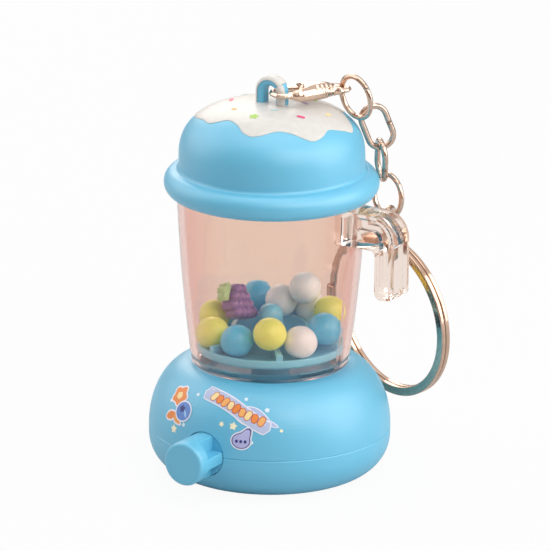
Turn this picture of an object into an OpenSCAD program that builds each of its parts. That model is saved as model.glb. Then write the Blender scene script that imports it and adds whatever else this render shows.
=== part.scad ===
// Gumball machine keychain toy. Origin: centre of the flat foot.
// +Z up, push knob along -Y, handle along +X.

/* [Base] */
// Radius at the widest part of the base
base_r = 20.1; // [19.8:0.1:20.6]
// Height of the base
base_h = 18.4; // [18.2:0.1:18.8]
// Height of the parting line between the two base shells
seam_z = 7.5; // [7.4:0.1:7.6]
// Radius of the flat foot
foot_r = 14.2; // [13.8:0.1:14.6]
// Wall thickness of the base shells and the lid
shell_t = 1.2; // [1.1:0.1:1.3]

/* [Cup] */
// Outside radius of the cup where it leaves the base
cup_low_r = 13.05; // [12.95:0.05:13.1]
// Outside radius of the cup under the lid
cup_top_r = 15.5; // [15.4:0.05:15.55]
// Wall thickness of the cup
cup_t = 1; // [0.9:0.1:1.1]

/* [Lid] */
// Radius of the dome
dome_r = 15.35; // [15.2:0.05:15.4]
// Height of the dome's top
dome_top_z = 62.6; // [62.4:0.1:62.8]
// Height of the loop's hole
loop_z = 64.5; // [64.4:0.1:64.6]

/* [Turntable] */
// Outside radius of the turntable
table_r = 12.2; // [12:0.05:12.25]
// Height of the floor that the balls lie on
table_z = 21.5; // [21.4:0.1:21.5]
// Number of vanes on the turntable
vane_count = 6; // [4:1:8]
// Diameter of a ball
ball_d = 5.4; // [5:0.1:5.4]

/* [Mechanism] */
// Outside radius of the push knob
knob_r = 3.67; // [3.5:0.01:3.67]
// How far the knob travels
knob_travel = 5; // [3:0.5:5]
// Number of teeth on the pinion
pinion_teeth = 16; // [16:1:16]
// Tooth module of the rack and pinion
tooth_module = 0.5; // [0.5:0.1:0.5]

/* [Key chain] */
// Outside diameter of the split ring
split_ring_d = 28; // [26:0.5:28]
// Outside diameter of the jump rings
jump_ring_d = 8; // [7.9:0.1:8.2]
// Wire diameter of the jump rings
jump_wire_d = 0.9; // [0.8:0.05:0.95]
// Outside length of a chain link
link_l = 8.6; // [8.5:0.1:8.6]
// Outside width of a chain link
link_w = 5.2; // [5.1:0.1:5.2]
// Wire diameter of a chain link
link_wire_d = 1; // [0.9:0.05:1]

/* [Hidden] */
$fn = 64;
tiny = 0.01;

// Colours
sky = [0.45, 0.76, 0.90];
clear = [0.93, 0.82, 0.76, 0.35];
metal = [0.80, 0.74, 0.70];
steel = [0.66, 0.66, 0.68];

// Base shell outlines: quarter ellipses above and below a short straight band
low_band_z = 6.2;
mouth_r = 13;
well_r = 12.5;
well_floor_z = 16.2;
deck_under_z = 15;
shoulder_steps = 22;

// Screws that join the base shells
screw_spots = [[0, 12], [-11, -5.2], [11, -5.2]];
boss_r = 2.2;
screw_r = 0.98;
screw_hole_r = 1;
screw_head_r = 1.8;

// Push knob
knob_hole_r = 3.8;
knob_face_y = -26.1;
knob_cap_t = 2.4;
guide_back_y = -18.4;
bulkhead_y = -12;
bulkhead_t = 1.4;

// Turntable post and its bearing in the deck
post_r = 2;
post_bore_r = 2.06;
collar_r = 3.4;
collar_low_z = 10;
drive_r = 1.5;
drive_flat = 1.1;

// Rack and pinion
pitch_r = pinion_teeth * tooth_module / 2;
pinion_low_z = 6;
pinion_high_z = 9;
rack_low_z = 6.2;
rack_high_z = 8.8;
rack_back_x = 6.6;
rack_end_y = 3.2;
tooth_pitch = PI * tooth_module;
pressure_angle = 20;
backlash = 0.12;

// Return spring
spring_x = -6.3;
spring_mean_r = 1.45;
spring_wire_r = 0.175;
spring_turns = 11;
spring_wall_y = 4;

// Cup
cup_low_z = 16.3;
cup_wall_z = base_h + 0.1;
cup_flare_z = 45;
cup_top_z = 49.5;
cup_neck_r = 12.4;

// Handle
slot_low_z = 41.9;
slot_high_z = 46.1;
slot_half_w = 1.9;
leg_in_x = 21.6;
leg_out_x = 25.1;
leg_low_z = 33.5;
leg_half_w = 2.55;
handle_top_z = 47.4;

// Lid
skirt_low_z = 47.3;
bulge_r = 2.15;
bulge_z = 49.3;
bulge_x = 15.6;
dome_low_z = 53.2;
dome_power = 2.7;
crease_r = 0.7;

// Clasp: its hook goes around one leg of the lid's loop; drawn along +X from that leg, then turned
leg_x = 1.95;
leg_wire_r = 0.8;
leg_flat = 0.8;
clasp_angle = 49.8;
clasp_z = 64.6;
hook_at = 0.44;
hook_mean_r = 2.1;
hook_wire_r = 0.5;
throat_r = hook_mean_r - hook_wire_r;
throat_end = 1.6;
belly_at = 2.5;
belly_r = 3;
neck_at = 8.6;
neck_r = 1.2;
eye_at = 10.05;
eye_r = 1.68;
eye_hole_r = 0.83;
lever_pin = [6.9, -1.3];
lever_tip = 1.25;
lever_half_t = 0.42;

// Where each part of the chain hangs: centre, then azimuth, tilt and turn in its own plane
ring_upper_place = [[11.85, 6.84, 63.94], [-16.8, -8.2, 0]];
link_1_place = [[13.8, 10.4, 58.37], [43.8, -5.6, 22.2]];
link_2_place = [[13.62, 12.12, 52.27], [137.2, 8.3, 31.1]];
ring_lower_place = [[13.53, 14.45, 45.56], [-18.5, 2.2, 0]];
link_3_place = [[13.79, 14.79, 39.52], [99.3, 0.8, 3.4]];
split_ring_place = [[13.22, 16.41, 24.27], [-17, -5.1, 0]];

// Where the loose balls lie
yellow_places = [[5.39, -8.54, 26.3], [-6.09, -7.95, 24.24], [-8.95, -3.51, 25.45], [7.53, 6.44, 26.52]];
white_places = [[8.84, -4.76, 24.5], [3.63, 4.95, 30.38], [-0.95, 4.75, 27.45], [2.61, 8.62, 25.82]];
blue_places = [[-0.25, -9.46, 24.31], [10.18, 0.36, 25.66], [-7.3, 7.2, 26.41], [-2.51, 9.45, 24.22],
    [-9.62, 2.83, 24.19]];
charm_place = [-3.9, -2.6, 28.3];
charm_turn = 94;
charm_lean = 70;
charm_roll = 43;

// ---- outlines ----

function arc(cx, cy, rx, ry, a0, a1, n) =
    [for (i = [0:n]) [cx + rx * cos(a0 + (a1 - a0) * i / n), cy + ry * sin(a0 + (a1 - a0) * i / n)]];

// Quarter ellipse of the upper shell, from the seam up to the mouth, moved inwards by the wall
function shoulder(wall, top_a) =
    arc(mouth_r - wall * 0.7, seam_z, base_r - mouth_r - wall * 0.3, base_h - seam_z - wall,
        0, top_a, shoulder_steps);

// Quarter ellipse of the lower shell, from the foot up to the straight band
function bilge(wall) =
    arc(foot_r - wall * 0.4, low_band_z, base_r - foot_r - wall * 0.6, low_band_z - wall, -90, 0, 20);

// Outside radius of the cup at a height: a straight flare with a slight belly
function cup_r(z) =
    let (t = (z - cup_wall_z) / (cup_flare_z - cup_wall_z))
    cup_low_r + (cup_top_r - cup_low_r) * t + 1.2 * max(0, t * (1 - t));

function cup_side(wall, z0, z1, n) =
    [for (i = [0:n]) let (z = z0 + (z1 - z0) * i / n) [cup_r(min(z, cup_flare_z)) - wall, z]];

// Superellipse of the dome, from its foot to its top, moved inwards by the wall
function dome(wall, n) =
    [for (i = [0:n]) let (a = 90 * i / n)
        [(dome_r - wall) * pow(cos(a), 2 / dome_power),
         dome_low_z + (dome_top_z - dome_low_z - wall) * pow(sin(a), 2 / dome_power)]];

// Involute curve from the base circle out to a radius, as [radius, angle] in degrees
function involute(r0, r) = let (a = acos(r0 / r)) tan(a) * 180 / PI - a;

// ---- helpers ----

module along_y(x, y, z) {
    translate([x, y, z]) rotate([-90, 0, 0]) children();
}

module hang(place) {
    translate(place[0]) rotate([-place[1][1], 0, place[1][0]]) rotate([90, -place[1][2], 0]) children();
}

module torus(r, wire_r) {
    rotate_extrude() translate([r, 0]) circle(wire_r, $fn = 32);
}

// One oval link in the XY plane, long along Y
module oval_link(l, w, wire) {
    r = (w - wire) / 2;
    s = (l - w) / 2;
    for (end = [0, 1])
        rotate([0, 0, 180 * end]) {
            translate([0, s, 0]) rotate_extrude(angle = 180) translate([r, 0]) circle(wire / 2, $fn = 32);
            translate([r, -s, 0]) rotate([-90, 0, 0]) cylinder(r = wire / 2, h = 2 * s, $fn = 32);
        }
}

// A coil spring along +Z as a swept tube
module coil(mean_r, wire_r, turns, length) {
    sides = 8;
    steps = 14 * turns;
    points = [for (i = [0:steps], k = [0:sides - 1])
        let (a = 360 * turns * i / steps, b = 360 * k / sides, r = mean_r + wire_r * cos(b))
        [r * cos(a), r * sin(a), length * i / steps + wire_r * sin(b)]];
    walls = [for (i = [0:steps - 1], k = [0:sides - 1])
        [i * sides + k, i * sides + (k + 1) % sides, (i + 1) * sides + (k + 1) % sides,
         (i + 1) * sides + k]];
    polyhedron(points, concat([for (w = walls) [w[3], w[2], w[1], w[0]]], [[for (k = [0:sides - 1]) k]],
        [[for (k = [sides - 1:-1:0]) steps * sides + k]]));
}

// ---- base ----

module knob_sleeve(inner_r) {
    along_y(0, -19.2, seam_z) rotate([0, 0, 50]) cylinder(r = inner_r, h = 19.2 + bulkhead_y);
}

module knob_bore() {
    along_y(0, -23, seam_z) rotate([0, 0, 50]) cylinder(r = knob_hole_r, h = 11.5);
}

module base_lower_shell() {
    color(sky) difference() {
        union() {
            rotate_extrude() polygon(concat([[0, 0]], bilge(0), [[base_r, seam_z - 0.15],
                [base_r - 0.12, seam_z]],
                [[base_r - shell_t, seam_z], [base_r - shell_t, low_band_z]],
                [for (i = [20:-1:0]) bilge(shell_t)[i]], [[0, shell_t]]));
            // lip that lines up the two shells
            difference() {
                rotate_extrude() polygon([[18, 5], [19.3, 5], [19.3, seam_z - 0.3],
                    [18.75, seam_z - 0.3], [18.75, seam_z + 0.9], [18, seam_z + 0.9]]);
                translate([0, -19, seam_z]) cube([11, 8, 8], center = true);
            }
            intersection() {
                difference() {
                    knob_sleeve(knob_hole_r + 1);
                    translate([-10, -30, seam_z]) cube([20, 20, 10]);
                }
                cylinder(r = base_r - 0.6, h = base_h);
            }
            for (p = screw_spots)
                translate([p[0], p[1], 0.5]) cylinder(r = boss_r, h = seam_z - 0.55);
            // wall that the return spring pushes against, with its peg
            translate([spring_x - 2.4, spring_wall_y, 0.8]) cube([5, 1.2, 8.8]);
            along_y(spring_x, spring_wall_y - 1.4, seam_z) cylinder(r = 0.9, h = 1.5);
            // rail under the rack and the guide behind it
            translate([4.8, -5.4, 0.8]) cube([2.9, 12, rack_low_z - 0.9]);
            translate([rack_back_x + 0.1, -5.4, 0.8]) cube([1, 12, 7.6]);
        }
        knob_bore();
        for (p = screw_spots) translate([p[0], p[1], -tiny]) {
            cylinder(r = screw_hole_r + 0.15, h = 10);
            cylinder(r = screw_head_r + 0.2, h = 2);
        }
    }
}

module base_upper_shell() {
    upper = [for (p = shoulder(0, 90)) if (p[1] > seam_z + 0.2) p];
    inner_top = asin((deck_under_z - seam_z) / (base_h - seam_z - shell_t));
    inner = shoulder(shell_t, inner_top);
    color(sky) difference() {
        union() {
            rotate_extrude() polygon(concat([[base_r - 0.12, seam_z], [base_r, seam_z + 0.15]], upper,
                [[well_r, base_h], [well_r, well_floor_z], [post_bore_r, well_floor_z],
                 [post_bore_r, collar_low_z], [collar_r, collar_low_z],
                [collar_r, deck_under_z]], [for (i = [shoulder_steps:-1:0]) inner[i]]));
            intersection() {
                difference() {
                    knob_sleeve(knob_hole_r + 1);
                    translate([-10, -30, seam_z - 10]) cube([20, 20, 10]);
                }
                cylinder(r = base_r - 0.6, h = base_h);
            }
            for (p = screw_spots)
                translate([p[0], p[1], seam_z]) cylinder(r = boss_r, h = deck_under_z - seam_z + 0.5);
        }
        knob_bore();
        for (p = screw_spots)
            translate([p[0], p[1], seam_z - tiny]) cylinder(r = screw_hole_r, h = 5.5);
    }
}

module base_screws() {
    color(steel) for (p = screw_spots) translate([p[0], p[1], 0]) difference() {
        union() {
            translate([0, 0, 0.7]) cylinder(r = screw_head_r, h = 1.25);
            translate([0, 0, 1.9]) cylinder(r = screw_r, h = 10);
            translate([0, 0, 11.9]) cylinder(r1 = screw_r, r2 = 0.2, h = 1, $fn = 48);
        }
        for (a = [0, 90]) rotate([0, 0, a]) translate([-1.1, -0.22, 0]) cube([2.2, 0.44, 1.3]);
    }
}

// ---- cup and handle ----

module cup() {
    color(clear) difference() {
        rotate_extrude() polygon(concat(
            [[cup_neck_r, cup_low_z], [cup_neck_r, cup_wall_z - 0.05], [mouth_r - 0.25, cup_wall_z]],
            cup_side(0, cup_wall_z + 0.3, cup_flare_z, 12), [[cup_top_r + 0.05, cup_top_z]],
            [[cup_top_r + 0.05 - cup_t, cup_top_z]],
            [for (p = cup_side(cup_t, cup_flare_z, cup_wall_z + 1.4, 12)) p],
            [[cup_neck_r - 0.75, cup_wall_z + 0.4], [cup_neck_r - 0.75, cup_low_z]]));
        // slot that the handle's tenon plugs into
        translate([12, -slot_half_w, slot_low_z]) cube([6, 2 * slot_half_w, slot_high_z - slot_low_z]);
    }
}

// Side view of the handle: root, rounded shoulder and leg, in the XZ plane
module handle_side() {
    turn_r = 4.2;
    foot_corner_r = 1.1;
    root_low_z = slot_low_z - 0.3;
    turn_z = handle_top_z - turn_r;
    leg_w = leg_out_x - leg_in_x;
    translate([14, root_low_z]) square([leg_out_x - turn_r - 14 + tiny, handle_top_z - root_low_z]);
    intersection() {
        translate([leg_out_x - turn_r, turn_z]) circle(turn_r);
        translate([leg_out_x - turn_r, root_low_z]) square(10);
    }
    translate([leg_in_x, leg_low_z + foot_corner_r]) square([leg_w, turn_z - leg_low_z - foot_corner_r]);
    translate([leg_in_x + foot_corner_r, leg_low_z]) square([leg_w - 2 * foot_corner_r, 3]);
    for (x = [leg_in_x + foot_corner_r, leg_out_x - foot_corner_r])
        translate([x, leg_low_z + foot_corner_r]) circle(foot_corner_r);
    // fillet between the leg and the root
    translate([leg_in_x - 1, root_low_z - 1]) difference() {
        square([1 + tiny, 1 + tiny]);
        circle(1);
    }
}

// Pocket in the side of the handle: a quarter ring that runs down into the leg
module handle_pocket() {
    turn_r = 4.2;
    turn = [leg_out_x - turn_r, handle_top_z - turn_r];
    translate([leg_in_x + 0.95, leg_low_z + 1.1]) square([1.7, turn[1] - leg_low_z - 1.1 + tiny]);
    intersection() {
        translate(turn) difference() {
            circle(turn_r - 0.85);
            circle(turn_r - 2.55);
        }
        translate(turn) square(6);
    }
    translate([turn[0] - 2.6, handle_top_z - 2.55]) square([2.6 + tiny, 1.7]);
}

module handle() {
    pocket_depth = 1.2;
    color(clear) difference() {
        union() {
            difference() {
                rotate([90, 0, 0]) linear_extrude(2 * leg_half_w, center = true) handle_side();
                rotate_extrude() polygon(concat([[0, 40]], cup_side(-0.04, 40, cup_flare_z, 6),
                    [[cup_top_r + 0.09, 48], [0, 48]]));
            }
            // tenon through the cup's wall and the lip that holds it inside
            translate([14, -slot_half_w + 0.03, slot_low_z + 0.03])
                cube([2.2, 2 * slot_half_w - 0.06, slot_high_z - slot_low_z - 0.06]);
            translate([13.2, -slot_half_w + 0.03, slot_low_z - 0.8])
                cube([0.9, 2 * slot_half_w - 0.06, slot_high_z - slot_low_z + 1.2]);
        }
        for (side = [-1, 1]) translate([0, side * leg_half_w, 0]) rotate([90, 0, 0])
            linear_extrude(2 * pocket_depth, center = true) handle_pocket();
    }
}

// ---- lid ----

// Section of the loop: a flat-sided oval, deeper along Y than it is wide
module loop_section() {
    for (side = [-1, 1]) translate([0, side * leg_flat / 2]) circle(leg_wire_r);
    square([2 * leg_wire_r, leg_flat], center = true);
}

module lid_loop() {
    leg_foot_z = 61.4;
    translate([0, 0, loop_z]) rotate([90, 0, 0]) rotate_extrude(angle = 180)
        translate([leg_x, 0]) loop_section();
    for (side = [-1, 1]) translate([side * leg_x, 0, leg_foot_z])
        linear_extrude(loop_z - leg_foot_z) loop_section();
}

module lid() {
    skirt_in_r = cup_top_r + 0.1;
    fillet_x = dome_r + crease_r;
    fillet_z = bulge_z + sqrt(pow(bulge_r + crease_r, 2) - pow(fillet_x - bulge_x, 2));
    color(sky) union() {
        difference() {
            union() {
                rotate_extrude() {
                    polygon(concat([[0, 50.8], [dome_r, 50.8]], dome(0, 36)));
                    difference() {
                        union() {
                            translate([bulge_x, bulge_z]) circle(bulge_r);
                            translate([14.3, 50]) square([fillet_x - 14.3, fillet_z - 50]);
                        }
                        translate([fillet_x, fillet_z]) circle(crease_r);
                        translate([bulge_x - 3, skirt_low_z - 3]) square([6, 3]);
                    }
                }
                translate([0, 0, skirt_low_z]) difference() {
                    cylinder(r = 16.3, h = 3.6);
                    translate([0, 0, -1]) cylinder(r = skirt_in_r, h = 6);
                }
            }
            // hollow inside: straight skirt around the cup, then the dome
            translate([0, 0, skirt_low_z - 1])
                cylinder(r = skirt_in_r, h = cup_top_z + 0.05 - skirt_low_z + 1);
            rotate_extrude() polygon(concat([[0, 49], [dome_r - shell_t - 0.1, 49]], dome(shell_t, 24)));
            // room for the handle's shoulder under the rim
            translate([15.9, -leg_half_w - 0.15, skirt_low_z - 1]) cube([4, 2 * leg_half_w + 0.3, 1.3]);
        }
        lid_loop();
    }
}

// ---- turntable ----

module turntable() {
    lip_z = table_z + 0.7;
    wall_top_z = 24.7;
    hub_r = 2.1;
    color(sky) difference() {
        union() {
            rotate_extrude() {
                polygon([[0, table_z - 0.8], [table_r - 0.4, table_z - 0.8], [table_r, table_z - 0.4],
                    [table_r, lip_z], [table_r - 0.6, lip_z], [table_r - 0.6, table_z], [6.5, table_z],
                    [6.5, wall_top_z], [5.7, wall_top_z], [5.7, table_z], [0, table_z]]);
                polygon([[0, well_floor_z + 0.05], [3.2, well_floor_z + 0.05],
                         [3.2, table_z - 0.5], [0, table_z - 0.5]]);
            }
            translate([0, 0, table_z - 0.5]) cylinder(r = hub_r, h = 26.2 - table_z + 0.5);
            translate([0, 0, 26.2]) sphere(hub_r);
            for (i = [0:vane_count - 1]) rotate([0, 0, -50 + 360 * i / vane_count])
                translate([6.2, -0.55, table_z - 0.4]) cube([5.6, 1.1, 2]);
            translate([0, 0, 9.9]) cylinder(r = post_r, h = 8);
            intersection() {
                translate([0, 0, 6.2]) cylinder(r = drive_r, h = 5);
                translate([-5, -5, 6]) cube([5 + drive_flat, 10, 6]);
            }
        }
        translate([0, 0, 6]) cylinder(r = 0.72, h = 6);
    }
}

// One tooth space of the pinion, cut from the blank, centred on +X
module tooth_space(h) {
    r0 = pitch_r * cos(pressure_angle);
    r_root = pitch_r - 0.62;
    r_tip = pitch_r + 0.6;
    half = 90 / pinion_teeth + (backlash / 2) / pitch_r * 180 / PI / 2 - involute(r0, pitch_r);
    flank = [for (i = [0:6]) let (r = r0 + tiny + (r_tip - r0) * i / 6) [r, half + involute(r0, r)]];
    side = concat([[r_root, half]], flank);
    polar = concat([for (p = side) p], [for (i = [len(side) - 1:-1:0]) [side[i][0], -side[i][1]]]);
    linear_extrude(h) polygon([for (p = polar) [p[0] * cos(p[1]), p[0] * sin(p[1])]]);
}

module drive_pinion() {
    color("white") difference() {
        union() {
            difference() {
                translate([0, 0, pinion_low_z])
                    cylinder(r = pitch_r + 0.42, h = pinion_high_z - pinion_low_z);
                for (i = [0:pinion_teeth - 1]) rotate([0, 0, 360 * i / pinion_teeth])
                    translate([0, 0, pinion_low_z - 0.5]) tooth_space(pinion_high_z - pinion_low_z + 1);
            }
            translate([0, 0, pinion_high_z - tiny]) cylinder(r = 3, h = 0.85);
        }
        intersection() {
            translate([0, 0, pinion_low_z - 1]) cylinder(r = drive_r + 0.03, h = 6);
            translate([-5, -5, pinion_low_z - 1]) cube([5 + drive_flat + 0.03, 10, 6]);
        }
    }
}

module pinion_screw() {
    color(steel) difference() {
        union() {
            translate([0, 0, 5.2]) cylinder(r = 1.9, h = 0.78);
            translate([0, 0, 5.9]) cylinder(r = 0.7, h = 5.6);
        }
        for (a = [0, 90]) rotate([0, 0, a]) translate([-1, -0.2, 5]) cube([2, 0.4, 0.6]);
    }
}

module balls(places) {
    for (p = places) translate(p) sphere(ball_d / 2);
}

module balls_yellow() {
    color([0.88, 0.87, 0.35]) balls(yellow_places);
}

module balls_white() {
    color([0.92, 0.87, 0.86]) balls(white_places);
}

module balls_blue() {
    color([0.32, 0.69, 0.86]) balls(blue_places);
}

// Flat-backed bunch of grapes: rows of beads that get shorter towards the tip
charm_rows = [3, 4, 3, 2, 1];
charm_step = 1.5;
charm_back_t = 1.7;

module in_charm_plane() {
    translate(charm_place) rotate([charm_lean, 0, charm_turn]) rotate([0, 0, charm_roll]) children();
}

module grape_charm() {
    color([0.60, 0.43, 0.68]) in_charm_plane() {
        for (j = [0:4], i = [0:charm_rows[j] - 1])
            translate([(i - (charm_rows[j] - 1) / 2) * charm_step, (1.7 - j) * charm_step * 0.87, 0]) {
                translate([0, 0, -charm_back_t]) cylinder(r = 0.92, h = charm_back_t, $fn = 48);
                sphere(0.92);
            }
        translate([0, 0, -charm_back_t]) linear_extrude(charm_back_t)
            polygon([[-2, 2.6], [2, 2.6], [2.4, 0.9], [0.2, -3.2], [-0.2, -3.2], [-2.4, 0.9]]);
    }
}

module grape_leaf() {
    color([0.72, 0.84, 0.55]) in_charm_plane() translate([0, 0, -charm_back_t])
        linear_extrude(charm_back_t - 0.2) {
        for (side = [-1, 0, 1]) translate([side * 0.95, 4 + 0.35 * (1 - side * side)])
            circle(0.72, $fn = 48);
        translate([-0.8, 3.35]) square([1.6, 0.9]);
    }
}

// ---- plunger ----

module knob_ribs(y0, y1, r) {
    intersection() {
        along_y(0, y0, seam_z) cylinder(r = r, h = y1 - y0);
        union() {
            translate([-1.6, y0 - 1, seam_z - 5]) cube([3.2, y1 - y0 + 2, 10]);
            translate([-5, y0 - 1, seam_z - 0.93]) cube([10, y1 - y0 + 2, 1.86]);
        }
    }
}

module rack_teeth() {
    addendum = 0.4;
    dedendum = 0.62;
    slope = tan(pressure_angle);
    half = tooth_pitch / 4 - backlash / 4;
    translate([0, 0, rack_low_z]) linear_extrude(rack_high_z - rack_low_z)
        for (i = [-6:1]) translate([pitch_r, i * tooth_pitch])
            polygon([[-addendum, -half + addendum * slope], [-addendum, half - addendum * slope],
                 [dedendum + 0.1, half + (dedendum + 0.1) * slope],
                 [dedendum + 0.1, -half - (dedendum + 0.1) * slope]]);
}

module plunger() {
    bulkhead_back_y = bulkhead_y + bulkhead_t;
    color(sky) union() {
        // round cap with a softened rim
        along_y(0, knob_face_y, seam_z) rotate_extrude() difference() {
            square([knob_r, knob_cap_t]);
            translate([knob_r - 0.6, 0]) difference() {
                square(0.6 + tiny);
                translate([0, 0.6]) circle(0.6);
            }
        }
        knob_ribs(knob_face_y + knob_cap_t - 0.1, bulkhead_y + 0.1, knob_r - 0.02);
        along_y(0, guide_back_y - 1.2, seam_z) cylinder(r = knob_r, h = 1.2);
        translate([-8.2, bulkhead_y, 5]) cube([15, bulkhead_t, 5]);
        translate([pitch_r + 0.62, bulkhead_back_y - 0.1, rack_low_z])
            cube([rack_back_x - pitch_r - 0.62, rack_end_y - bulkhead_back_y + 0.1,
                 rack_high_z - rack_low_z]);
        rack_teeth();
        along_y(spring_x, bulkhead_back_y - 0.1, seam_z) cylinder(r = 0.9, h = 2.2);
    }
}

module return_spring() {
    start = bulkhead_y + bulkhead_t + spring_wire_r + 0.02;
    color(steel) along_y(spring_x, start, seam_z)
        coil(spring_mean_r, spring_wire_r, spring_turns, spring_wall_y - start - spring_wire_r - 0.02);
}

// ---- clasp ----

module at_clasp() {
    translate([leg_x, 0, clasp_z]) rotate([180, 0, clasp_angle]) children();
}

// Half thickness of the clasp along its length: thin at the hook, thick in the middle, thin at the eye
function clasp_half_t(x) =
    let (m = 6.1, d = x < m ? (x - m) / 8 : (x - m) / 4.2) 0.48 + 0.92 * max(0, 1 - d * d);

// Flat outline of the clasp's body behind the hook: belly, neck and eye
module clasp_outline() {
    difference() {
        union() {
            intersection() {
                translate([hook_at, 0]) circle(hook_mean_r + hook_wire_r);
                translate([hook_at, -4]) square(8);
            }
            translate([belly_at, 0]) difference() {
                circle(belly_r);
                translate([-8 - belly_at + hook_at, -4]) square(8);
            }
            polygon([[belly_at + 0.9, belly_r - 0.14], [neck_at, neck_r], [eye_at, neck_r],
                     [eye_at, -neck_r],
                [neck_at, -neck_r], [belly_at + 0.9, 0.14 - belly_r]]);
            translate([eye_at, 0]) circle(eye_r);
        }
        translate([hook_at, 0]) circle(throat_r);
        translate([throat_end, 0]) circle(throat_r);
        translate([hook_at, -throat_r]) square([throat_end - hook_at, 2 * throat_r]);
        translate([eye_at, 0]) circle(eye_hole_r);
        translate([eye_at - 0.45, 0]) circle(eye_hole_r);
    }
}

// Side view of the clasp as a solid across it
module clasp_side() {
    xs = [for (i = [0:20]) -3 + 15 * i / 20];
    rotate([90, 0, 0]) linear_extrude(10, center = true)
        polygon(concat([for (x = xs) [x, clasp_half_t(x)]],
                       [for (i = [20:-1:0]) [xs[i], -clasp_half_t(xs[i])]]));
}

module clasp_body() {
    color(metal) at_clasp() difference() {
        union() {
            translate([hook_at, 0, 0]) rotate([0, 0, 90]) rotate_extrude(angle = 180)
                translate([hook_mean_r, 0]) circle(hook_wire_r, $fn = 48);
            intersection() {
                translate([0, 0, -2]) linear_extrude(4) clasp_outline();
                clasp_side();
            }
        }
        // opening that the lever closes, the slot it turns in, the pin's hole and the spring's pocket
        translate([lever_tip - 0.1, -4, -2]) cube([1.9, 3.2, 4]);
        translate([0, 0, -lever_half_t - 0.08]) linear_extrude(2 * lever_half_t + 0.16)
            polygon([[2.6, -4], [2.6, 0.1], [7.9, -0.4], [7.9, -4]]);
        translate([lever_pin[0], lever_pin[1], -1.1]) cylinder(r = 0.31, h = 2.2, $fn = 48);
        translate([5.2, -1, 0]) rotate([-90, 0, 0]) cylinder(r = 0.42, h = 1.6, $fn = 48);
    }
}

module clasp_lever() {
    color(metal) at_clasp() difference() {
        translate([0, 0, -lever_half_t]) linear_extrude(2 * lever_half_t) {
            intersection() {
                difference() {
                    translate([belly_at, 0]) circle(belly_r);
                    translate([throat_end, 0]) circle(throat_r + 0.02);
                    translate([hook_at, -throat_r]) square([throat_end - hook_at, 2 * throat_r]);
                }
                translate([lever_tip, -4]) square([7, 2.6]);
            }
            polygon([[3.1, -1.42], [3.4, -2.8], [lever_pin[0], -1.95], [lever_pin[0], -0.65], [5, -0.98]]);
            translate(lever_pin) circle(0.65);
            // thumb tab
            translate([3.9, -2.9]) circle(0.55);
        }
        translate([lever_pin[0], lever_pin[1], -3]) cylinder(r = 0.35, h = 6, $fn = 48);
    }
}

module clasp_pin() {
    color(metal) at_clasp() translate([lever_pin[0], lever_pin[1], -1.05])
        cylinder(r = 0.3, h = 2.1, $fn = 48);
}

module clasp_spring() {
    color(steel) at_clasp() translate([5.2, -0.84, 0]) rotate([-90, 0, 0]) coil(0.28, 0.06, 5, 1.35);
}

// ---- chain ----

module jump_ring_upper() {
    color(metal) hang(ring_upper_place) torus((jump_ring_d - jump_wire_d) / 2, jump_wire_d / 2);
}

module chain_link_1() {
    color(metal) hang(link_1_place) oval_link(link_l, link_w, link_wire_d);
}

module chain_link_2() {
    color(metal) hang(link_2_place) oval_link(link_l, link_w, link_wire_d);
}

module jump_ring_lower() {
    color(metal) hang(ring_lower_place) torus((jump_ring_d - jump_wire_d) / 2, jump_wire_d / 2);
}

module chain_link_3() {
    color(metal) hang(link_3_place) oval_link(link_l, link_w, link_wire_d);
}

// Two flat coils of the split ring, joined at the step
module split_ring() {
    r_out = split_ring_d / 2;
    width = 1.6;
    coil_t = 0.86;
    color(metal) hang(split_ring_place) rotate_extrude() {
        difference() {
            translate([r_out - width, -coil_t - 0.04]) square([width, 2 * coil_t + 0.08]);
            for (x = [r_out - width, r_out]) translate([x, 0]) rotate([0, 0, 45])
                square(0.28, center = true);
        }
    }
}

base_lower_shell();
base_upper_shell();
base_screws();
cup();
handle();
lid();
return_spring();
turntable();
drive_pinion();
pinion_screw();
balls_yellow();
balls_white();
balls_blue();
grape_charm();
grape_leaf();
plunger();
clasp_body();
clasp_lever();
clasp_pin();
clasp_spring();
jump_ring_upper();
chain_link_1();
chain_link_2();
jump_ring_lower();
chain_link_3();
split_ring();
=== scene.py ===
"""Looks for the gumball machine keychain toy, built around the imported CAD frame. Metres, +Z up."""
import math

import bmesh
import bpy
import numpy as np
from mathutils import Matrix, Vector
from mathutils.bvhtree import BVHTree
from mathutils.geometry import delaunay_2d_cdt


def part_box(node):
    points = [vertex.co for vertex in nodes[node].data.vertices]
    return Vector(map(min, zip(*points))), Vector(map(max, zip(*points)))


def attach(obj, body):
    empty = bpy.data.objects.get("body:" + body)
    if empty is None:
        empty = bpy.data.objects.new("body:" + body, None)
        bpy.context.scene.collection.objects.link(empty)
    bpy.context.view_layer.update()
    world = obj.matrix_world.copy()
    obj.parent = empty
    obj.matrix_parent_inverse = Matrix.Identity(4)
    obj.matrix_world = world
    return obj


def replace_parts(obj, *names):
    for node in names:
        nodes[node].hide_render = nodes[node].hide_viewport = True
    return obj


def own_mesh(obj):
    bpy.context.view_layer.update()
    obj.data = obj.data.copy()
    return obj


MM = 0.001
TAU = 2 * math.pi

# Camera: where it looks from, its distance and its lens
CAMERA_AZIMUTH = math.radians(32.8)
CAMERA_ELEVATION = math.radians(17.54)
CAMERA_ROLL = math.radians(0.5)
CAMERA_DISTANCE = 0.924
CAMERA_AIM = (0.76 * MM, 2.88 * MM, 30 * MM)  # to the right, up the picture, height above the floor
CAMERA_LENS = 365.2

# Thickness of one printed layer, and of the thicker icing print; longest edge in a print's mesh
INK = 0.03 * MM
ICING = 0.10 * MM
PRINT_EDGE = 0.55 * MM

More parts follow.
